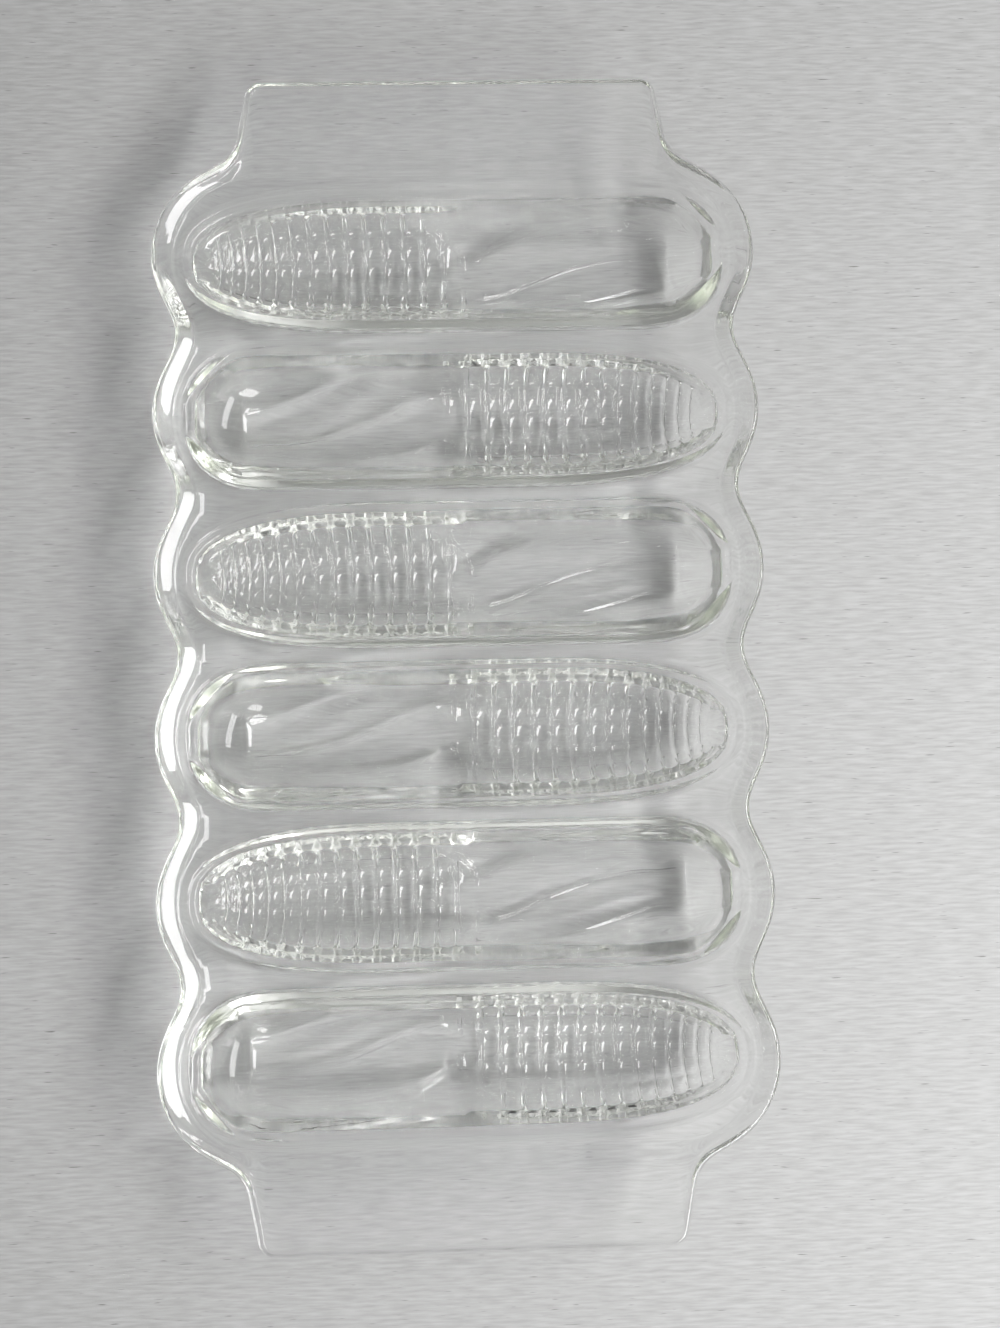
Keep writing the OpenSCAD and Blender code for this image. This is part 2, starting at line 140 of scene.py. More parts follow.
class HuskSizes(bpy.types.PropertyGroup):
    """Leaves and stalk."""

    leaf_tip: length("Leaf tip", "From the middle of the pan to the deep leaf's tip", 5.4 * MM)
    root: length("Stalk length", "From the mouth's flat end to the stalk's root", 13.0 * MM)
    face: length("Stalk face", "From the stalk's cut end to the mouth's flat end", 2.5 * MM)
    rise: length("Stalk rise", "Height of the stalk's cut end above the floor", 12.0 * MM)
    root_step: length("Root step", "Height of the step at the stalk's root", 1.0 * MM)
    depth: length("Leaf depth", "Depth of the deep leaf below the bars' tops", 1.8 * MM)
    edge: length("Leaf edge", "Width of the sloping edge of a leaf", 0.6 * MM)


class RimSizes(bpy.types.PropertyGroup):
    """Rim and handles."""

    slope: length("Slope", "From the deck's edge to the foot of the rim", 2.4 * MM)
    thickness: length("Thickness", "Thickness of the rim and the handles", 5.0 * MM)
    edge: length("Edge", "Rounding of the rim's outer edge", 1.2 * MM)
    scallop: length("Scallop", "How far the waists lie inside the bulges", 6.25 * MM)
    corner: length("Corner", "Radius of the outline's corners", 25.5 * MM)
    handle_width: length("Handle", "Width of a handle at its throats", 116.4 * MM)
    throat: length("Throat", "Radius of the throats beside a handle", 10.0 * MM)
    handle_corner: length("Handle corner", "Radius of a handle's corners", 4.5 * MM)


class StageSizes(bpy.types.PropertyGroup):
    """Floor and camera."""

    floor: length("Floor", "Width of the floor", 3.0)
    camera_x: length("Camera X", "Place of the camera", -1.384 * MM)
    camera_y: length("Camera Y", "Place of the camera", -29.825 * MM)
    camera_z: length("Camera Z", "Place of the camera", 421.614 * MM)


class Colours(bpy.types.PropertyGroup):
    """Colours of the glass and of the board."""

    tint: colour("Glass tint", "Colour that light takes on deep in the glass", "#E9F0DC")
    board_low: colour("Board, low grain", "Paint in the low lines of the grain", "#969695")
    board_high: colour("Board, high grain", "Paint on the high lines of the grain", "#A9A9A9")
    scratch: colour("Scratches", "Bare wood in the scratches", "#6E6E6C")


GROUPS = {
    "pan_cup": CupSizes,
    "pan_kernel": KernelSizes,
    "pan_husk": HuskSizes,
    "pan_rim": RimSizes,
    "pan_stage": StageSizes,
    "pan_colours": Colours,
}

# Distances under which two places count as one
MERGE_DISTANCE = 1e-6
TOUCH = 1e-7

# The mouth and the bed: power of the curve of a round end, then shares of a mouth's length and width
ROUND_POWER = 2.5
TAPER_SHARE = 0.75
CORNER_HALF_SHARE = 0.94
BED_TIP_SHARE = 0.94
BED_ROUND_SHARE = 0.22
END_BED_SHARE = 0.35
STALK_BED_SHARE = 0.5

# The kernels: rows round the cob, their angle and the bed's, and the columns over which their width grows
ROWS = 5
ROW_ANGLE = math.radians(32)
BED_ANGLE = math.radians(80)
KERNEL_GROWTH = 5.5
# Height of the small bars between rows, as a share of the big bars' height
ROW_BAR_SHARE = 0.6
# A pocket's side, as shares of its width: where the crest, the straight wall and the hollow foot end
PROFILE = (0.28, 0.56, 1)
# Length of a bead along its bar, and the width of a column with full sized pockets
BEAD_LENGTH_SHARE = 0.75
FULL_SCALE_SHARE = 0.8
# How near a line may come to the middle of a pocket
CLOSED_SHARE = 0.2
# Lengths over which a form fades out: bars at the root, leaves at the root, bars and leaves at the
# bed's border, and the ledge beside the kernels
ROOT_RUN = 8 * MM
LEAF_ROOT_RUN = 1.5 * MM
LEAF_ROOT_LEAD_SHARE = 0.2
BAR_RUN = 0.6 * MM
LEAF_RUN = 4 * MM
LEDGE_RUN = 6 * MM

# Edges of the husk leaves from the deep leaf's tip to the stalk's root: share of that length,
# then share of the bed's half width
LEAF_EDGE_SHARES = {
    "near": [(0, 0.08), (0.168, -0.33), (0.254, -0.525), (0.427, -0.748), (0.685, -0.9), (1, -0.86)],
    "deep": [(0, 0.08), (0.058, 0.266), (0.142, 0.44), (0.2, 0.54), (0.249, 0.5), (0.422, 0.158),
             (0.595, -0.187), (0.768, -0.374), (1, -0.5)],
    "upper": [(0, 0.98), (0.044, 0.892), (0.099, 0.777), (0.249, 0.53), (0.422, 0.2), (0.595, -0.14),
              (0.768, -0.32), (1, -0.42)],
    "side": [(0, 0.96), (0.375, 0.95), (0.589, 0.784), (0.761, 0.554), (0.891, 0.4), (1, 0.37)],
}
# Width of the slope between two leaves, and the limits of the upper and side leaves
LEAF_GAP_SHARE = 0.04
UPPER_LIMIT_SHARE = 0.9
SIDE_GAP_SHARE = 0.02
SIDE_LIMIT_SHARE = 0.96
# The near leaf's edge crosses the kernels: share of the bed's half width, then of the same length
NEAR_EDGE_SHARES = [(-1, -0.065), (-0.71, 0.03), (-0.35, 0.13), (0, 0.2), (1, 0.3)]
# How far behind the deep leaf's tip the upper and side leaves begin
UPPER_START_SHARE = 0.03
# Depths of the leaves as shares of the deep leaf's depth, at their two edges
LEAF_DEPTH_SHARES = {"near": (0.5, 0.0), "deep": (0.9, 0.2), "upper": (0.9, 0.2), "side": (0.8, 0.25)}
DEEP_LEAF_BOW_SHARE = 0.08

# Lines of the bed's blank: across each leaf, across a row of kernels and across an outer row
LEAF_LINES = {"near": 6, "gap": 3, "deep": 8, "upper": 5, "side": 5}
ROW_LINE_SHARES = (0, 0.035, 0.08, 0.5, 0.92, 0.965)
OUTER_LINE_SHARES = (0, 0.025, 0.05, 0.1, 0.2, 0.32, 0.6, 0.92, 0.965)
# Lines along the cup: in a pocket's side, along the husk, down the step at the root, up the stalk
WALL_LINE_SHARES = (0.14, 0.28, 0.56, 0.75, 1)
HUSK_LINES = 24
STEP_LINE_SHARES = (0.33, 0.67, 1)
STALK_LINES = 7
# Where the lines turn from the rows of kernels to the leaves
LINES_TURN_LEAD = 1 * MM
LINES_TURN_RUN = 15 * MM

# The cup's wall: the centre that its rays leave from, the halvings that find the mouth on a ray, the
# stretched lines at the stalk, and the softened corners there
RAY_CENTRE_SHARE = 0.55
HALVINGS = 40
STRETCH_RUN = 5 * MM
SOFT_CORNER_RUN = 3 * MM
SOFTENINGS = 8
# Width of the strip of deck that goes with a wall, turns of the mouth's rounded edge, shares of the
# way down the wall, and the powers that bow it
DECK_STRIP = 0.25 * MM
MOUTH_EDGE_TURNS = np.radians((0, 18, 36, 54))
WALL_SHARES = (0.4, 0.75)
WALL_RUN_POWER = 1.25
WALL_DROP_POWER = 1.15
SHELF_SLOPE_SHARE = 0.12

# The belly: the turn of its round section at which the flat foot begins, with a little to spare
FOOT_TURN = math.radians(15)
FOOT_SPARE = 1.02
# Where its width and its depth begin to round off, as shares of its length, at the tip and the stalk
WIDTH_ROUND_SHARES = (0.27, 0.68)
DEPTH_ROUND_SHARES = (0.3, 0.61)
# Its foot's line, as a share of the outline's length, and the line's two ends
FOOT_LINE_SHARE = 0.62
FOOT_END_SHARES = (-0.55, 0.2)
# Points that trace half of the outline, lines round it, and turns of the edge and of the section
TRACE_POINTS = 1200
BELLY_LINES = 96
BELLY_EDGE_TURNS = np.radians((90, 66, 42, 20, 2))
BELLY_TURNS = np.radians((80, 72, 64, 56, 48, 40, 32, 24, 17, 12))

# The rim: how far a waist lies past the middle, the turns where throats and handles begin, and the
# lines of each stretch
WAIST_LAG_SHARE = 0.065
THROAT_ANGLE = math.radians(62)
HANDLE_LEAN = math.radians(11)
QUARTER_TURN = math.radians(90)
CORNER_LINES = 9
SCALLOP_LINES = 11
HANDLE_LINES = 9
HANDLE_EDGE_LINES = 7
# How much narrower the deck is than the handle beside it
HANDLE_DECK_SHARE = 0.8
# The rim's inner slope: share of the way from the deck to the crest, then of the rise
RIM_SLOPE_SHARES = [(-0.04, 0), (0, 0.04), (0.03, 0.14), (0.06, 0.24), (0.1, 0.29), (0.3, 0.455), (0.5, 0.62),
                    (0.7, 0.785), (0.88, 0.93), (0.96, 0.985)]
DECK_LINE_SHARES = (0, 0.5)
RIM_TURNS = np.radians((0, 18, 36, 54, 72, 90))
# The rim's underside slopes like a skirt beside the cups, up to a thin edge
SKIRT_EDGE_SHARE = 0.34
SKIRT_END_SHARE = 0.9
UNDER_RUN = 9 * MM
UNDER_REACH_SHARE = 1.25
UNDER_LINE_SHARES = (0.15, 0.35, 0.5, 0.65, 0.85, 1)

# Patterns are counted on this length of a surface
COUNTED_LENGTH = 100 * MM
# The glass: its bending of light, the waves of its skin, about 3 mm wide, and their height, the
# patches of its polish, about 17 mm wide, and their range of roughness, and how fast its tint deepens
GLASS_IOR = 1.52
CHILL_WAVES = 32 / COUNTED_LENGTH
CHILL_DEPTH = 0.02 * MM
HAZE_PATCHES = 6 / COUNTED_LENGTH
HAZE_RANGE = (0.35, 0.7)
POLISH_RANGE = (0.01, 0.04)
TINT_DENSITY = 5.0

# The board, along its lines, across them and into the board: lines of grain about 8 mm long and
# 0.8 mm apart, and scratches about 6 mm long and 0.5 mm wide. Then the grain's height, the ranges
# of noise that become grain and scratches, and the paint's roughness
GRAIN_WAVES = (13 / COUNTED_LENGTH, 130 / COUNTED_LENGTH, 0.1 / COUNTED_LENGTH)
GRAIN_DEPTH = 0.08 * MM
GRAIN_RANGE = (0.3, 0.7)
GRAIN_STRENGTH = 0.5
SCRATCH_WAVES = (17 / COUNTED_LENGTH, 190 / COUNTED_LENGTH, 0.1 / COUNTED_LENGTH)
SCRATCH_RANGE = (0.7, 0.8)
PAINT_ROUGHNESS = 0.6

# The window lamp: its direction, distance in metres, size in metres and power in watts
WINDOW_TURN = math.radians(-22)
WINDOW_HEIGHT = math.radians(46)
WINDOW_WAY = (math.cos(WINDOW_HEIGHT) * math.cos(WINDOW_TURN),
              math.cos(WINDOW_HEIGHT) * math.sin(WINDOW_TURN),
              math.sin(WINDOW_HEIGHT))
WINDOW_DISTANCE = 0.9
WINDOW_WIDTH = 1.1
WINDOW_SPAN = 0.3
WINDOW_ENERGY = 12.3
# The room's light, and the glow round the window by the cosine of the angle from it
ROOM_LEVEL = 0.25
GLOW_LEVEL = 0.75
GLOW_RANGE = (0.5, 0.9)
# The floor lies just under the glass, so that the two never touch in the render
FLOOR_GAP = 0.1 * MM
# The camera: its turn, its lens and sensor in millimetres, and its near and far limits in metres
CAMERA_TURN = (0.0664489, -0.0270499, -0.0229332)
CAMERA_LENS = 40.66
CAMERA_SENSOR = 36
CAMERA_RANGE = (0.01, 20)
# Light crosses many walls of glass before it leaves the pan
GLASS_BOUNCES = 32


def mix(a, b, t):
    return a + (b - a) * t


def soft_step(t):
    """0 below 0, 1 above 1, and a soft step between them."""
    t = np.clip(t, 0, 1)
    return t * t * (3 - 2 * t)


def pocket_wall(u):
    """0 on a bar's crest, 1 on a pocket's floor: a round crest, a straight wall and a hollow foot."""
    crest, wall, foot = PROFILE
    u = np.clip(u, 0, foot)
    rise = np.select([u < crest, u < wall], [u * u / (2 * crest), u - crest / 2],
                     u - crest / 2 - (u - wall) ** 2 / (2 * (foot - wall)))
    return rise / (foot - crest / 2 - (foot - wall) / 2)


def round_end(t):
    """Half width of a round end, from 1 where it begins to 0 at its tip."""
    return (1 - np.clip(t, 0, 1) ** ROUND_POWER) ** (1 / ROUND_POWER)


def through(points, t):
    """A smooth curve through a list of (place, value), read at the places t."""
    places, values = np.array(points, float).T
    slopes = np.gradient(values, places)
    k = np.clip(np.searchsorted(places, t) - 1, 0, len(places) - 2)
    gap = places[k + 1] - places[k]
    s = np.clip((t - places[k]) / gap, 0, 1)
    start = (1 + 2 * s) * (1 - s) ** 2 * values[k] + s * (1 - s) ** 2 * gap * slopes[k]
    end = s * s * (3 - 2 * s) * values[k + 1] + s * s * (s - 1) * gap * slopes[k + 1]
    return start + end


class CupForm:
    """The inside of one cup in its own frame: x runs to the cob's tip."""

    def __init__(self, scene):
        self.cup, self.kernel, self.husk = scene.pan_cup, scene.pan_kernel, scene.pan_husk
        cup, kernel = self.cup, self.kernel
        self.stalk_x = -cup.stalk
        self.corner_x = self.stalk_x + cup.stalk_corner
        self.taper_x = TAPER_SHARE * self.corner_x
        self.round_x = cup.tip - cup.tip_round
        self.bed_tip = BED_TIP_SHARE * cup.tip
        self.bed_round = BED_ROUND_SHARE * cup.tip
        self.floor_z = FOOT_Z + cup.floor
        self.bed_z = self.floor_z + cup.cob_rise
        self.root_x = self.stalk_x + self.husk.root
        self.face_x = self.stalk_x + self.husk.face
        grown = [1 - math.exp(-k / KERNEL_GROWTH) for k in range(kernel.columns)]
        widths = mix(kernel.first, kernel.last, np.array(grown))
        self.bars = cup.tip - kernel.start - np.concatenate([[0], np.cumsum(widths)])

    def mouth_half(self, x):
        half = self.cup.width / 2
        tip = half * round_end((x - self.round_x) / (self.cup.tip - self.round_x))
        corner = half * CORNER_HALF_SHARE
        taper = mix(half, corner, (self.taper_x - x) / (self.taper_x - self.corner_x))
        slant = mix(self.cup.stalk_width / 2, corner, (x - self.stalk_x) / self.cup.stalk_corner)
        return np.select([x > self.round_x, x > self.taper_x, x > self.corner_x], [tip, half, taper], slant)

    def bed_shape(self, x):
        return round_end((x - self.bed_round) / (self.bed_tip - self.bed_round))

    def bed_half(self, x):
        half = self.cup.cob_width / 2
        tip = np.maximum(half * self.bed_shape(x), END_BED_SHARE * self.mouth_half(x))
        way = (self.taper_x - x) / (self.taper_x - self.stalk_x)
        narrow = mix(half / (self.cup.width / 2), STALK_BED_SHARE, way)
        return np.select([x > self.bed_round, x > self.taper_x], [tip, half], self.mouth_half(x) * narrow)

    def floor(self, x):
        way = np.clip((self.root_x - x) / (self.root_x - self.face_x), 0, 1)
        step = soft_step((self.root_x - x) / self.husk.root_step)
        lift = step * mix(self.husk.root_step, self.husk.rise, way)
        return self.floor_z + self.cup.cob_rise * (1 - self.bed_shape(x)) + lift

    def bar_height(self, x):
        """Height of the bars above the floors of the pockets."""
        middles = (self.bars[:-1] + self.bars[1:]) / 2
        scales = np.minimum(1, (self.bars[:-1] - self.bars[1:]) / (FULL_SCALE_SHARE * self.kernel.last))
        stalk = soft_step((x - self.root_x) / ROOT_RUN)
        return self.kernel.depth * np.interp(-x, -middles, scales) * stalk

    def surface(self, x, angle, top, height):
        """Points of the bed: along the cup, round the cob, and above the floors of the pockets."""
        low = self.floor(x)
        high = np.maximum(self.bed_z, low)
        bow = (1 - np.cos(angle)) / (1 - math.cos(BED_ANGLE))
        y = self.bed_half(x) * np.sin(angle) / math.sin(BED_ANGLE) - height * np.sin(angle)
        z = low - top + (high - low + top) * bow + height * np.cos(angle)
        return np.stack([x + 0 * y, y, z], -1)

    def pocket_by(self, x, angle):
        """The pocket at a place: its middle, half width and scale, and how far its walls swell into it."""
        kernel = self.kernel
        k = np.clip(np.searchsorted(-self.bars, -x) - 1, 0, len(self.bars) - 2)
        middle = (self.bars[k] + self.bars[k + 1]) / 2
        width = self.bars[k] - self.bars[k + 1]
        scale = np.minimum(1, width / (FULL_SCALE_SHARE * kernel.last))
        half = width / 2 - kernel.bar * scale
        radius = self.bed_half(middle) / math.sin(BED_ANGLE)
        row = angle / ROW_ANGLE + ROWS / 2
        line = np.clip(np.round(row), 1, ROWS - 1)
        to_row = np.abs(row - line) * ROW_ANGLE * radius
        to_edge = (BED_ANGLE - np.abs(angle)) * radius
        swell = kernel.bead * scale * np.exp(-((to_row / (BEAD_LENGTH_SHARE * kernel.bead * scale)) ** 2))
        return middle, half, scale, swell, to_row, to_edge

    def pockets(self, x, angle):
        """Depth of the kernels' pockets, as shares of the bars' height."""
        kernel = self.kernel
        middle, half, scale, swell, to_row, to_edge = self.pocket_by(x, angle)
        away = np.abs(x - middle)
        small_bar = ROW_BAR_SHARE * np.exp(-((to_row / kernel.row_bar) ** 2))
        straight = pocket_wall((half - swell - away) / (kernel.wall * scale)) * (1 - small_bar)
        arched = np.sqrt(1 - np.clip(away / half, 0, 1) ** 2)
        return mix(straight, arched, soft_step(1 - to_edge / (kernel.arch * scale)))

    def along_walls(self, places, angle):
        """Moves the lines beside the bars with the pockets' walls."""
        x = places[:, None] + 0 * angle
        middle, half, scale, swell, _, _ = self.pocket_by(x, angle)
        away = np.abs(x - middle)
        moved = middle + np.sign(x - middle) * np.maximum(away - swell, CLOSED_SHARE * away)
        on_bar = away > half + self.kernel.bar * scale / 2
        return np.where(on_bar | (x < self.bars[-1]) | (x > self.bars[0]), x, moved)

    def leaf_edges(self, x):
        """Edges of the near, deep, upper and side leaves, as shares of the bed's half width."""
        t = np.clip((self.husk.leaf_tip - x) / (self.husk.leaf_tip - self.root_x), 0, 1)
        near, deep, upper, side = (through(points, t) for points in LEAF_EDGE_SHARES.values())
        upper = np.clip(upper, deep + LEAF_GAP_SHARE, UPPER_LIMIT_SHARE)
        side = np.clip(side, upper + SIDE_GAP_SHARE, SIDE_LIMIT_SHARE - LEAF_GAP_SHARE / 2)
        return near, deep, upper, side

    def leaves(self, x, share):
        """Depth of the husk's leaves, and how much they cover, at a share of the bed's half width."""
        husk = self.husk
        t = (husk.leaf_tip - x) / (husk.leaf_tip - self.root_x)
        near, deep, upper, side = self.leaf_edges(x)
        gap = LEAF_GAP_SHARE
        past = {"near": soft_step((share - near + gap) / gap), "deep": soft_step((share - deep) / gap),
                "upper": soft_step((share - upper + gap) / gap), "side": soft_step((share - side) / gap)}
        spans = {"near": (-1, near), "deep": (near, deep), "upper": (upper, side), "side": (side, 1)}
        shares = {"near": 1 - past["near"], "deep": past["near"] * (1 - past["deep"]),
                  "upper": past["upper"] * (1 - past["side"]), "side": past["side"]}
        later = t - UPPER_START_SHARE
        starts = {"near": t - through(NEAR_EDGE_SHARES, share), "deep": t, "upper": later, "side": later}
        depth, cover = 0 * share, 0 * share
        for name, (low, high) in spans.items():
            begun = soft_step(starts[name] * (husk.leaf_tip - self.root_x) / husk.edge)
            way = np.clip((share - low) / np.maximum(high - low, gap), 0, 1)
            first, last = LEAF_DEPTH_SHARES[name]
            leaf = mix(first, last, way)
            if name == "deep":
                leaf = leaf + DEEP_LEAF_BOW_SHARE * np.sin(math.pi * way)
            depth = depth + begun * shares[name] * leaf * husk.depth
            cover = cover + begun * shares[name]
        return depth, cover

    def lines_along(self):
        """Places along the cup of the bed's lines, from the tip to the stalk."""
        kernel, places = self.kernel, []
        for k in range(len(self.bars) - 1):
            width = self.bars[k] - self.bars[k + 1]
            scale = min(1, width / (FULL_SCALE_SHARE * kernel.last))
            bar, wall = kernel.bar * scale, kernel.wall * scale
            offsets = [0] + [bar + wall * part for part in WALL_LINE_SHARES]
            places += [self.bars[k] - d for d in offsets]
            places += [(self.bars[k] + self.bars[k + 1]) / 2]
            places += [self.bars[k + 1] + d for d in reversed(offsets[1:])]
        husk = np.linspace(self.bars[-1], self.root_x, HUSK_LINES + 1)
        stalk = mix(self.root_x, self.face_x, np.linspace(0, 1, STALK_LINES + 1)[1:])
        step = self.root_x - self.husk.root_step * np.array(STEP_LINE_SHARES)
        return np.concatenate([places, husk, step, stalk[1:]])

    def angles_across(self, x):
        """Places round the cob of the bed's lines: on the rows by the kernels, on the leaves by the husk."""
        row_lines = list(OUTER_LINE_SHARES)
        for row in range(1, ROWS - 1):
            row_lines += [row + share for share in ROW_LINE_SHARES]
        row_lines += [ROWS - 1] + [ROWS - share for share in reversed(OUTER_LINE_SHARES)]
        by_rows = (np.array(row_lines) - ROWS / 2) * ROW_ANGLE
        near, deep, upper, side = self.leaf_edges(x)
        gap, count = LEAF_GAP_SHARE, LEAF_LINES
        middle = np.minimum(gap, (upper - deep) / 2) / count["gap"]
        steps = range(count["gap"])
        lines = [mix(-1, near - gap, n / count["near"]) for n in range(count["near"])]
        lines += [near - gap + gap * n / count["gap"] for n in steps]
        lines += [mix(near, deep, n / count["deep"]) for n in range(count["deep"])]
        lines += [deep + middle * n for n in steps]
        lines += [upper - middle * (count["gap"] - n) for n in steps]
        lines += [mix(upper, side, n / count["upper"]) for n in range(count["upper"])]
        lines += [side + gap * n / count["gap"] for n in steps]
        lines += [mix(side + gap, 1, n / count["side"]) for n in range(count["side"] + 1)]
        by_leaves = np.arcsin(np.clip(np.stack(lines, -1), -1, 1) * math.sin(BED_ANGLE))
        turned = soft_step((self.husk.leaf_tip + LINES_TURN_LEAD - x) / LINES_TURN_RUN)
        return mix(by_rows, by_leaves, turned[:, None])

    def bed(self):
        """The bed as rows of points, from the tip to the stalk."""
        places = self.lines_along()
        angle = self.angles_across(places)
        x = self.along_walls(places, angle)
        share = np.sin(angle) / math.sin(BED_ANGLE)
        leaf, cover = self.leaves(x, share)
        leaf = leaf * soft_step((x - self.root_x) / LEAF_ROOT_RUN + LEAF_ROOT_LEAD_SHARE)
        top = self.bar_height(x)
        border = (BED_ANGLE - np.abs(angle)) * self.bed_half(x)
        run = np.clip(border / mix(BAR_RUN, LEAF_RUN, cover), 0, 1)
        height = (top - mix(top * self.pockets(x, angle), leaf, cover)) * np.sqrt(1 - (1 - run) ** 2)
        return self.surface(x, angle, top, height)

    def mouth_by(self, points):
        """The mouth's edge beside each point of the bed's border."""
        x, y = points[:, 0], points[:, 1]
        centre = RAY_CENTRE_SHARE * self.cup.tip
        way = np.arctan2(y, x - centre)
        near, far = np.zeros(len(x)), np.full(len(x), 2 * self.cup.tip)
        for _ in range(HALVINGS):
            reach = (near + far) / 2
            ray_x = centre + reach * np.cos(way)
            out = np.abs(reach * np.sin(way)) > self.mouth_half(np.minimum(ray_x, self.cup.tip))
            out |= ray_x > self.cup.tip
            near, far = np.where(out, near, reach), np.where(out, reach, far)
        round_x, round_y = centre + near * np.cos(way), near * np.sin(way)
        side = np.sign(y)
        stretch_from = self.corner_x + STRETCH_RUN
        pulled = mix(stretch_from, self.stalk_x, (stretch_from - x) / (stretch_from - self.face_x))
        side_x = np.where(x < stretch_from, pulled, x)
        side_y = side * self.mouth_half(side_x)
        end = np.abs(x - self.face_x) < TOUCH
        end_y = y * self.cup.stalk_width / 2 / self.bed_half(np.array([self.face_x]))[0]
        mouth_x = np.where(x > centre, round_x, np.where(end, self.stalk_x, side_x))
        mouth_y = np.where(x > centre, round_y, np.where(end, end_y, side_y))
        return mouth_x, mouth_y

    def wall(self, bed):
        """The wall from the bed's border up to the mouth and out to the flat deck, as closed rings."""
        border = np.concatenate([bed[0, :-1], bed[:-1, -1], bed[-1, :0:-1], bed[:0:-1, 0]])
        mouth_x, mouth_y = self.mouth_by(border)
        mouth = np.stack([mouth_x, mouth_y], -1)
        for _ in range(SOFTENINGS):
            softer = (np.roll(mouth, 1, 0) + 2 * mouth + np.roll(mouth, -1, 0)) / 4
            mouth = np.where((mouth[:, :1] < self.corner_x + SOFT_CORNER_RUN), softer, mouth)
        inward = border[:, :2] - mouth
        gap = np.linalg.norm(inward, axis=1, keepdims=True)
        inward = inward / gap
        radius = self.cup.mouth_edge
        ledge = self.cup.ledge * soft_step((border[:, :1] - self.husk.leaf_tip) / LEDGE_RUN + 1)
        shelf = border[:, :2] - inward * ledge
        shelf_z = border[:, 2:] + SHELF_SLOPE_SHARE * ledge
        deck_z = DECK_Z + 0 * gap
        rings = [(mouth - inward * DECK_STRIP, deck_z)]
        for turn in MOUTH_EDGE_TURNS:
            rings.append((mouth + inward * radius * math.sin(turn), deck_z - radius * (1 - math.cos(turn))))
        top, top_z = rings[-1]
        for way in WALL_SHARES:
            place = mix(top, shelf, way ** WALL_RUN_POWER)
            rings.append((place, mix(top_z, shelf_z, way ** WALL_DROP_POWER)))
        rings += [(shelf, shelf_z), (border[:, :2], border[:, 2:])]
        rings = np.stack([np.concatenate([place, height], -1) for place, height in rings])
        return np.concatenate([rings, rings[:, :1]], 1)


def belly_form(scene):
    """The underside of one cup, as closed rings from the deck's underside to the foot."""
    cup = scene.pan_cup
    half_width, end = cup.belly_width / 2, cup.belly_end
    reach = (UNDER_Z - FOOT_Z) * (1 + FOOT_SPARE * (1 / math.cos(FOOT_TURN) - 1))

    def rounded(x, shares):
        start = np.where(x > 0, *shares)
        return round_end((np.abs(x) / end - start) / (1 - start))

    def half(x):
        return half_width * rounded(x, WIDTH_ROUND_SHARES)

    turn = np.linspace(0, math.pi, TRACE_POINTS)
    x = end * np.cos(turn)
    outline = np.concatenate([np.stack([x, half(x)], -1), np.stack([x[::-1], -half(x[::-1])], -1)[1:-1]])
    outline = np.concatenate([outline, outline[:1]])
    steps = np.concatenate([[0], np.cumsum(np.linalg.norm(np.diff(outline, axis=0), axis=1))])
    places = np.linspace(0, steps[-1], BELLY_LINES + 1)
    outline = np.stack([np.interp(places, steps, outline[:, axis]) for axis in (0, 1)], -1)[:-1]
    ahead = np.roll(outline, -1, 0) - np.roll(outline, 1, 0)
    out = np.stack([ahead[:, 1], -ahead[:, 0]], -1)
    out = out / np.linalg.norm(out, axis=1, keepdims=True)
    out = out * np.sign(np.sum(out * outline, 1, keepdims=True))
    foot_start, foot_end = (share * end for share in FOOT_END_SHARES)
    foot = np.stack([np.clip(outline[:, 0] * FOOT_LINE_SHARE, foot_start, foot_end), 0 * outline[:, 1]], -1)
    radius, ones = cup.belly_edge, np.ones((len(outline), 1))
    rings = [np.concatenate([outline + out * (radius + DECK_STRIP), UNDER_Z * ones], 1)]
    for turn in BELLY_EDGE_TURNS:
        place = outline + out * radius * (1 - math.cos(turn))
        rings.append(np.concatenate([place, (UNDER_Z - radius * (1 - math.sin(turn))) * ones], 1))
    for turn in BELLY_TURNS:
        place = mix(foot, outline, math.sin(turn))
        across = place[:, 1] / np.maximum(half(place[:, 0]), MERGE_DISTANCE)
        deep = reach * rounded(place[:, 0], DEPTH_ROUND_SHARES)
        height = UNDER_Z - deep * np.sqrt(np.clip(1 - across ** 2, 0, 1))
        height = np.clip(height, FOOT_Z, UNDER_Z - radius)
        rings.append(np.concatenate([place, height[:, None]], 1))
    rings = np.stack(rings)
    return np.concatenate([rings, rings[:, :1]], 1)


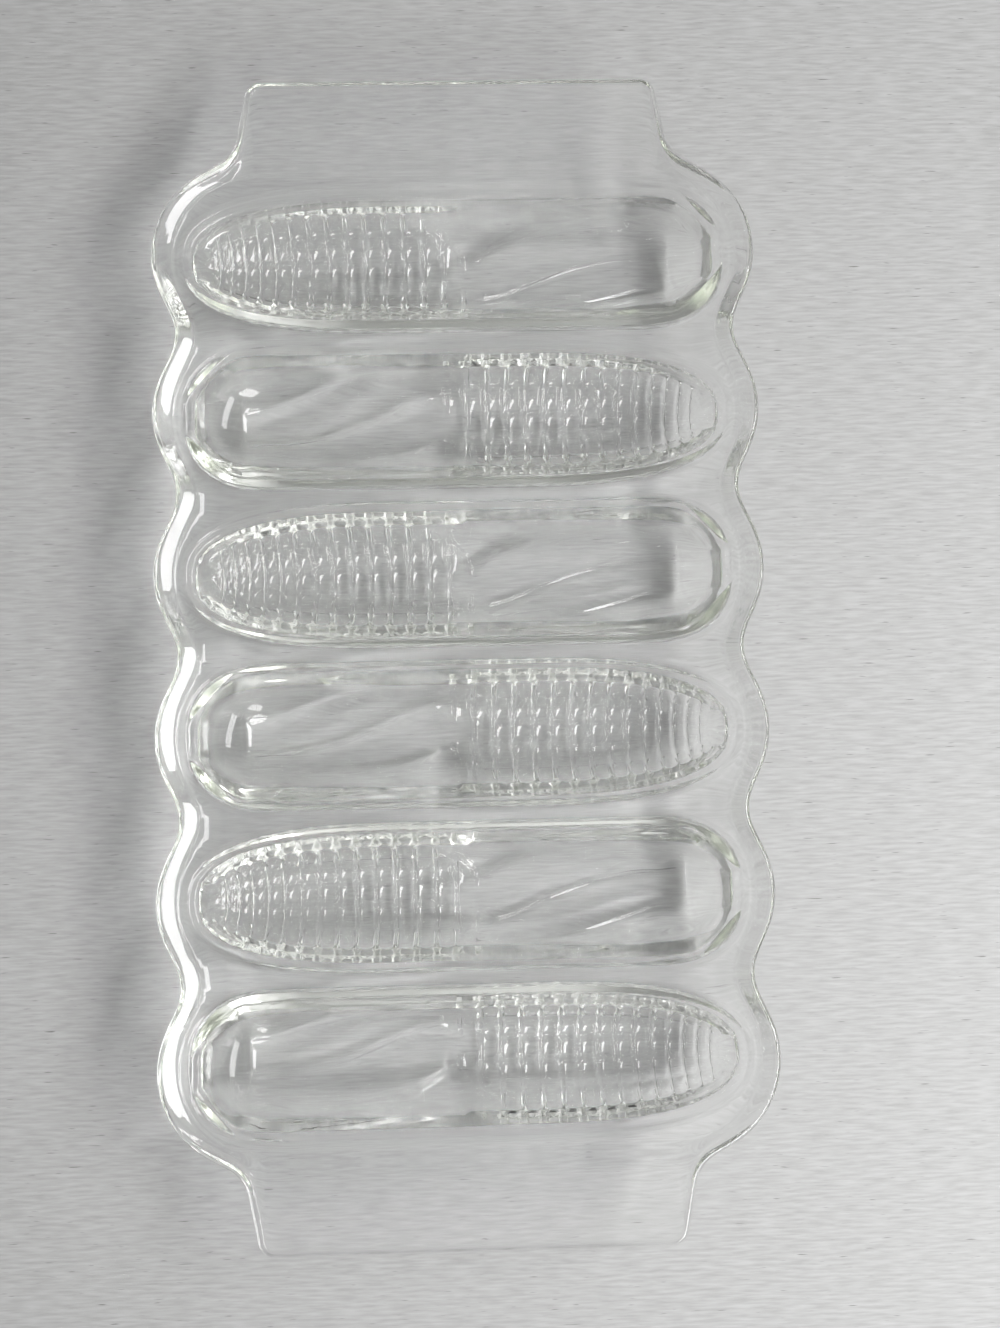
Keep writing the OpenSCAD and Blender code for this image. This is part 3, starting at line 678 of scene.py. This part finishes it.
def rim_form(scene):
    """Rim and handles: one closed band of cross sections, from the deck over the rim to the underside."""
    rim = scene.pan_rim
    slope_x, slope_y = DECK_X + rim.slope, DECK_Y + rim.slope
    corner_x = RIM_X - rim.corner
    stations = []

    def on_corner(angle, x, y):
        ray = 1 / math.hypot(math.cos(angle) / (x - corner_x), math.sin(angle) / (y - END_CUP_Y))
        return corner_x + ray * math.cos(angle), ray * math.sin(angle)

    def corner(angle, side):
        deck, inner = on_corner(angle, DECK_X, DECK_Y), on_corner(angle, slope_x, slope_y)
        outer = corner_x + rim.corner * math.cos(angle), rim.corner * math.sin(angle)
        rows = [(px, side * (END_CUP_Y + py)) for px, py in (deck, inner, outer)]
        stations.append((*rows, side * angle))

    def scallop(n):
        q = n % (2 * SCALLOP_LINES)
        t = (q if q <= SCALLOP_LINES else 2 * SCALLOP_LINES - q) / SCALLOP_LINES
        inset = rim.scallop * (1 - math.cos(math.pi * (t - WAIST_LAG_SHARE * math.sin(math.pi * t)))) / 2
        y = n * PITCH / (2 * SCALLOP_LINES) - END_CUP_Y
        stations.append(((DECK_X - inset, y), (slope_x - inset, y), (RIM_X - inset, y), 0.0))

    for n in range(CORNER_LINES, 0, -1):
        corner(THROAT_ANGLE * n / CORNER_LINES, -1)
    for n in range(2 * SCALLOP_LINES * (len(CUPS) - 1) + 1):
        scallop(n)
    for n in range(1, CORNER_LINES + 1):
        corner(THROAT_ANGLE * n / CORNER_LINES, 1)
    throat_way = Vector((math.cos(THROAT_ANGLE), math.sin(THROAT_ANGLE)))
    start = Vector((corner_x, END_CUP_Y)) + rim.corner * throat_way
    throat_x = rim.handle_width / 2 + rim.throat * (math.cos(HANDLE_LEAN) - math.cos(THROAT_ANGLE))
    turn = Vector((throat_x, start.y + (start.x - throat_x) / math.tan(THROAT_ANGLE)))
    centre = turn + rim.throat * throat_way
    end = centre - rim.throat * Vector((math.cos(HANDLE_LEAN), math.sin(HANDLE_LEAN)))
    nook_y = HANDLE_Y - rim.handle_corner
    nook_x = end.x - (rim.handle_corner + (nook_y - end.y) * math.sin(HANDLE_LEAN)) / math.cos(HANDLE_LEAN)
    quarter = []
    for n in range(HANDLE_LINES + 1):
        angle = mix(THROAT_ANGLE, HANDLE_LEAN, n / HANDLE_LINES)
        place = centre - rim.throat * Vector((math.cos(angle), math.sin(angle)))
        inner_angle = mix(THROAT_ANGLE, QUARTER_TURN, (n + 1) / (HANDLE_LINES + 1))
        inner_rows = (on_corner(inner_angle, DECK_X, DECK_Y), on_corner(inner_angle, slope_x, slope_y))
        quarter.append((*((px, END_CUP_Y + py) for px, py in inner_rows), tuple(place), angle))
    for n in range(HANDLE_LINES + 1):
        angle = mix(HANDLE_LEAN, QUARTER_TURN, n / HANDLE_LINES)
        place = Vector((nook_x, nook_y)) + rim.handle_corner * Vector((math.cos(angle), math.sin(angle)))
        x = mix(corner_x, nook_x * HANDLE_DECK_SHARE, (n + 1) / (HANDLE_LINES + 1))
        quarter.append(((x, DECK_Y), (x, slope_y), tuple(place), angle))
    for n in range(1, HANDLE_EDGE_LINES + 1):
        x = nook_x * (1 - n / HANDLE_EDGE_LINES)
        deck_x = x * HANDLE_DECK_SHARE
        quarter.append(((deck_x, DECK_Y), (deck_x, slope_y), (x, HANDLE_Y), QUARTER_TURN))
    stations += quarter
    for deck, inner, outer, angle in reversed(quarter[:-1]):
        stations.append(((-deck[0], deck[1]), (-inner[0], inner[1]), (-outer[0], outer[1]), math.pi - angle))
    sections = []
    for deck, inner, outer, angle in stations:
        deck, inner, outer = (np.array(p) for p in (deck, inner, outer))
        inward = -np.array([math.cos(angle), math.sin(angle)])
        skirt = float(soft_step((END_CUP_Y + rim.corner * SKIRT_END_SHARE - abs(outer[1])) / rim.corner * 2))
        sections.append(rim_section(rim, deck, inner, outer, inward, skirt))
    half = np.stack(sections)
    turned = half * np.array([-1, -1, 1])
    return np.concatenate([half, turned, half[:1]])


def rim_section(rim, deck, inner, outer, inward, skirt):
    """One cross section, from the deck's edge over the rim and back to the deck's underside."""
    crest = outer + inward * rim.edge
    points = [(*mix(deck, inner, way), DECK_Z) for way in DECK_LINE_SHARES]
    for way, rise in RIM_SLOPE_SHARES:
        points.append((*mix(inner, crest, way), mix(DECK_Z, RIM_Z, rise)))
    low_z = mix(RIM_Z - rim.thickness, RIM_Z - SKIRT_EDGE_SHARE * rim.thickness, skirt)
    for turn in RIM_TURNS:
        place = outer + inward * rim.edge * (1 - math.sin(turn))
        points.append((*place, RIM_Z - rim.edge * (1 - math.cos(turn))))
    foot = mix(rim.edge, SKIRT_EDGE_SHARE * rim.edge, skirt)
    for turn in RIM_TURNS[-2::-1]:
        points.append((*(outer + inward * foot * (1 - math.sin(turn))), low_z + foot * (1 - math.cos(turn))))
    last = outer + inward * foot
    deck = mix(deck, inner, UNDER_REACH_SHARE)
    width = np.linalg.norm(deck - last)
    run = mix(min(1, UNDER_RUN / width), 1, skirt)
    for way in UNDER_LINE_SHARES:
        place = mix(last, deck, mix(1 - run, 1, way))
        points.append((*place, mix(low_z, UNDER_Z, mix(float(soft_step(way)), way, skirt))))
    return np.array(points)


def press(name, form):
    """A flat grid blank with one corner for each point of the form, pressed into it."""
    rows, columns = form.shape[:2]
    bpy.ops.object.select_all(action="DESELECT")
    bpy.ops.mesh.primitive_grid_add(x_subdivisions=columns - 1, y_subdivisions=rows - 1)
    sheet = bpy.context.object
    sheet.name = name
    sheet.data.vertices.foreach_set("co", form.astype(np.float32).ravel())
    sheet.data.update()
    return sheet


def join(pieces, name):
    """Joins pieces into the first and merges the corners that they share."""
    bpy.ops.object.select_all(action="DESELECT")
    for piece in pieces:
        piece.select_set(True)
    bpy.context.view_layer.objects.active = pieces[0]
    if len(pieces) > 1:
        bpy.ops.object.join()
    whole = bpy.context.object
    whole.name = name
    whole.data.name = name
    bpy.ops.object.mode_set(mode="EDIT")
    bpy.ops.mesh.select_all(action="SELECT")
    bpy.ops.mesh.remove_doubles(threshold=MERGE_DISTANCE)
    bpy.ops.object.mode_set(mode="OBJECT")
    return whole


def place_in_rows(piece):
    """Copies a piece to every cup's row, with each copy turned half round from the one before."""
    copies = []
    for number in range(1, len(CUPS) + 1):
        copy = piece.copy()
        copy.data = piece.data.copy()
        bpy.context.collection.objects.link(copy)
        y = ((len(CUPS) + 1) / 2 - number) * PITCH
        turn = Matrix.Diagonal((-1, -1, 1, 1)) if number % 2 else Matrix.Identity(4)
        copy.data.transform(Matrix.Translation((0, y, 0)) @ turn)
        copies.append(copy)
    bpy.data.objects.remove(piece)
    return copies


def fill_flat(piece, height):
    """Fills the flat face that lies between the open edges at one height."""
    bpy.ops.object.select_all(action="DESELECT")
    piece.select_set(True)
    bpy.context.view_layer.objects.active = piece
    bpy.ops.object.mode_set(mode="EDIT")
    bpy.ops.mesh.select_mode(type="EDGE")
    bpy.ops.mesh.select_all(action="DESELECT")
    bpy.ops.mesh.select_non_manifold(extend=False, use_wire=False, use_boundary=True,
                                     use_multi_face=False, use_non_contiguous=False, use_verts=False)
    bpy.ops.object.mode_set(mode="OBJECT")
    mesh = piece.data
    heights = np.array([v.co.z for v in mesh.vertices])
    for edge in mesh.edges:
        if edge.select:
            edge.select = all(abs(heights[v] - height) < MERGE_DISTANCE for v in edge.vertices)
    chosen = {v for edge in mesh.edges if edge.select for v in edge.vertices}
    for vertex in mesh.vertices:
        vertex.select = vertex.index in chosen
    bpy.ops.object.mode_set(mode="EDIT")
    bpy.ops.mesh.fill(use_beauty=True)
    bpy.ops.object.mode_set(mode="OBJECT")


class PAN_OT_glass(bpy.types.Operator):
    """Press the whole pan as one skin of glass"""

    bl_idname = "pan.glass"
    bl_label = "Glass pressing"

    def execute(self, context):
        scene = context.scene
        form = CupForm(scene)
        bed = form.bed()
        cup = join([press("bed", bed), press("wall", form.wall(bed))], "cup")
        bellies = place_in_rows(press("belly", belly_form(scene)))
        cups = place_in_rows(cup)
        rim = press("rim", rim_form(scene))
        pan = join([rim, *cups, *bellies], PAN)
        fill_flat(pan, DECK_Z)
        fill_flat(pan, UNDER_Z)
        fill_flat(pan, FOOT_Z)
        bpy.ops.object.mode_set(mode="EDIT")
        bpy.ops.mesh.select_all(action="SELECT")
        bpy.ops.mesh.normals_make_consistent(inside=False)
        bpy.ops.object.mode_set(mode="OBJECT")
        bpy.ops.object.shade_smooth()
        pan.data.materials.clear()
        pan.data.materials.append(pressed_glass(scene.pan_colours))
        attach(pan, "root")
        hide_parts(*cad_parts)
        return {"FINISHED"}


def add_node(tree, kind, links=(), values=(), **settings):
    """Adds a node, sets its properties and sockets, and links sockets from other nodes' outputs."""
    node = tree.nodes.new(kind)
    for name, value in settings.items():
        if hasattr(node, name):
            setattr(node, name, value)
        else:
            node.inputs[name.replace("_", " ")].default_value = value
    for socket, value in dict(values).items():
        node.inputs[socket].default_value = value
    for socket, source in dict(links).items():
        tree.links.new(source, node.inputs[socket])
    return node


def new_material(name):
    material = bpy.data.materials.new(name)
    material.use_nodes = True
    material.node_tree.nodes.clear()
    return material, material.node_tree


def pressed_glass(colours):
    """Soda lime glass, pressed and fire polished: clear, with a faint yellow green tint in depth.

    The slow waves of a mould's chilled surface break up the lines of light, and patches of a duller
    polish soften some of them. Both are drawn coarser than real, so that they show in the render.
    """
    material, tree = new_material("pressed_soda_lime_glass")
    place = add_node(tree, "ShaderNodeTexCoord").outputs["Object"]
    waves = add_node(tree, "ShaderNodeTexNoise", {"Vector": place}, Scale=CHILL_WAVES, Detail=2.0)
    skin = add_node(tree, "ShaderNodeBump", {"Height": waves.outputs[0]}, Strength=1.0, Distance=CHILL_DEPTH)
    haze = add_node(tree, "ShaderNodeTexNoise", {"Vector": place}, Scale=HAZE_PATCHES, Detail=3.0)
    polish = add_node(tree, "ShaderNodeMapRange", {"Value": haze.outputs[0]},
                      From_Min=HAZE_RANGE[0], From_Max=HAZE_RANGE[1],
                      To_Min=POLISH_RANGE[0], To_Max=POLISH_RANGE[1])
    surface = {"Normal": skin.outputs[0], "Roughness": polish.outputs[0]}
    shader = add_node(tree, "ShaderNodeBsdfPrincipled", surface,
                      Base_Color=linear("#FFFFFF"), IOR=GLASS_IOR, Transmission_Weight=1.0)
    depth = add_node(tree, "ShaderNodeVolumeAbsorption", Color=colours.tint, Density=TINT_DENSITY)
    add_node(tree, "ShaderNodeOutputMaterial", {"Surface": shader.outputs[0], "Volume": depth.outputs[0]})
    return material


def painted_board(colours):
    """Matt white paint on a board: its grain shows through as fine level lines, with a few dark scratches."""
    material, tree = new_material("painted_board")
    place = add_node(tree, "ShaderNodeTexCoord").outputs["Object"]
    along = add_node(tree, "ShaderNodeMapping", {"Vector": place}, Scale=GRAIN_WAVES)
    grain = add_node(tree, "ShaderNodeTexNoise", {"Vector": along.outputs[0]}, Scale=1.0, Detail=4.0)
    paint = add_node(tree, "ShaderNodeMapRange", {"Value": grain.outputs[0]},
                     From_Min=GRAIN_RANGE[0], From_Max=GRAIN_RANGE[1])
    tones = {6: colours.board_low, 7: colours.board_high}
    tone = add_node(tree, "ShaderNodeMix", {0: paint.outputs[0]}, tones, data_type="RGBA")
    thin = add_node(tree, "ShaderNodeMapping", {"Vector": place}, Scale=SCRATCH_WAVES)
    scratch = add_node(tree, "ShaderNodeTexNoise", {"Vector": thin.outputs[0]}, Scale=1.0, Detail=1.0)
    mark = add_node(tree, "ShaderNodeMapRange", {"Value": scratch.outputs[0]},
                    From_Min=SCRATCH_RANGE[0], From_Max=SCRATCH_RANGE[1])
    mixed = add_node(tree, "ShaderNodeMix", {0: mark.outputs[0], 6: tone.outputs[2]},
                     {7: colours.scratch}, data_type="RGBA")
    relief = add_node(tree, "ShaderNodeBump", {"Height": grain.outputs[0]},
                      Strength=GRAIN_STRENGTH, Distance=GRAIN_DEPTH)
    surface = {"Base Color": mixed.outputs[2], "Normal": relief.outputs[0]}
    shader = add_node(tree, "ShaderNodeBsdfPrincipled", surface, Roughness=PAINT_ROUGHNESS)
    add_node(tree, "ShaderNodeOutputMaterial", {"Surface": shader.outputs[0]})
    return material


def soft_room():
    """A pale room that grows brighter round the window."""
    world = bpy.data.worlds.new("soft_room")
    world.use_nodes = True
    world.node_tree.nodes.clear()
    tree = world.node_tree
    place = add_node(tree, "ShaderNodeTexCoord").outputs["Generated"]
    side = add_node(tree, "ShaderNodeVectorMath", {0: place}, {1: WINDOW_WAY}, operation="DOT_PRODUCT")
    glow = add_node(tree, "ShaderNodeMapRange", {"Value": side.outputs["Value"]},
                    interpolation_type="SMOOTHSTEP", From_Min=GLOW_RANGE[0], From_Max=GLOW_RANGE[1],
                    To_Min=ROOM_LEVEL, To_Max=ROOM_LEVEL + GLOW_LEVEL)
    back = add_node(tree, "ShaderNodeBackground", {"Strength": glow.outputs[0]}, Color=linear("#FFFFFF"))
    add_node(tree, "ShaderNodeOutputWorld", {"Surface": back.outputs[0]})
    return world


class PAN_OT_stage(bpy.types.Operator):
    """Set up the pale floor, the soft light and the camera"""

    bl_idname = "pan.stage"
    bl_label = "Stage"

    def execute(self, context):
        scene, sizes = context.scene, context.scene.pan_stage
        bpy.ops.object.select_all(action="DESELECT")
        bpy.ops.mesh.primitive_plane_add(size=sizes.floor, location=(0, 0, FOOT_Z - FLOOR_GAP))
        floor = context.object
        floor.name = "stage_floor"
        floor.data.materials.append(painted_board(scene.pan_colours))
        scene.world = soft_room()
        lamp = bpy.data.lights.new("window", "AREA")
        lamp.shape, lamp.size, lamp.size_y = "RECTANGLE", WINDOW_WIDTH, WINDOW_SPAN
        lamp.energy = WINDOW_ENERGY
        window = bpy.data.objects.new("window", lamp)
        window.location = WINDOW_DISTANCE * Vector(WINDOW_WAY)
        window.rotation_mode = "QUATERNION"
        window.rotation_quaternion = window.location.to_track_quat("Z", "Y")
        context.collection.objects.link(window)
        camera = bpy.data.cameras.new("camera")
        camera.lens, camera.sensor_width = CAMERA_LENS, CAMERA_SENSOR
        eye = bpy.data.objects.new("camera", camera)
        eye.location = (sizes.camera_x, sizes.camera_y, sizes.camera_z)
        eye.rotation_euler = Euler(CAMERA_TURN, "XYZ")
        camera.clip_start, camera.clip_end = CAMERA_RANGE
        context.collection.objects.link(eye)
        scene.camera = eye
        scene.view_settings.view_transform = "Standard"
        scene.cycles.max_bounces = GLASS_BOUNCES
        scene.cycles.transmission_bounces = GLASS_BOUNCES
        scene.cycles.glossy_bounces = GLASS_BOUNCES
        scene.cycles.blur_glossy = 0
        return {"FINISHED"}


class PAN_PT_sizes(bpy.types.Panel):
    """Sizes of the pan"""

    bl_idname = "PAN_PT_sizes"
    bl_label = "Cornstick pan"
    bl_space_type = "VIEW_3D"
    bl_region_type = "UI"
    bl_category = "Cornstick pan"

    def draw(self, context):
        for group in GROUPS:
            sizes = getattr(context.scene, group)
            box = self.layout.box()
            for name in sizes.bl_rna.properties.keys():
                if name not in ("rna_type", "name"):
                    box.prop(sizes, name)
        self.layout.operator(PAN_OT_glass.bl_idname)
        self.layout.operator(PAN_OT_stage.bl_idname)


CLASSES = (*GROUPS.values(), PAN_OT_glass, PAN_OT_stage, PAN_PT_sizes)


def register():
    for kind in CLASSES:
        bpy.utils.register_class(kind)
    for name, kind in GROUPS.items():
        setattr(bpy.types.Scene, name, PointerProperty(type=kind))


def unregister():
    for name in GROUPS:
        delattr(bpy.types.Scene, name)
    for kind in reversed(CLASSES):
        bpy.utils.unregister_class(kind)


def main():
    register()
    bpy.ops.pan.glass()
    bpy.ops.pan.stage()


if __name__ == "__main__":
    main()
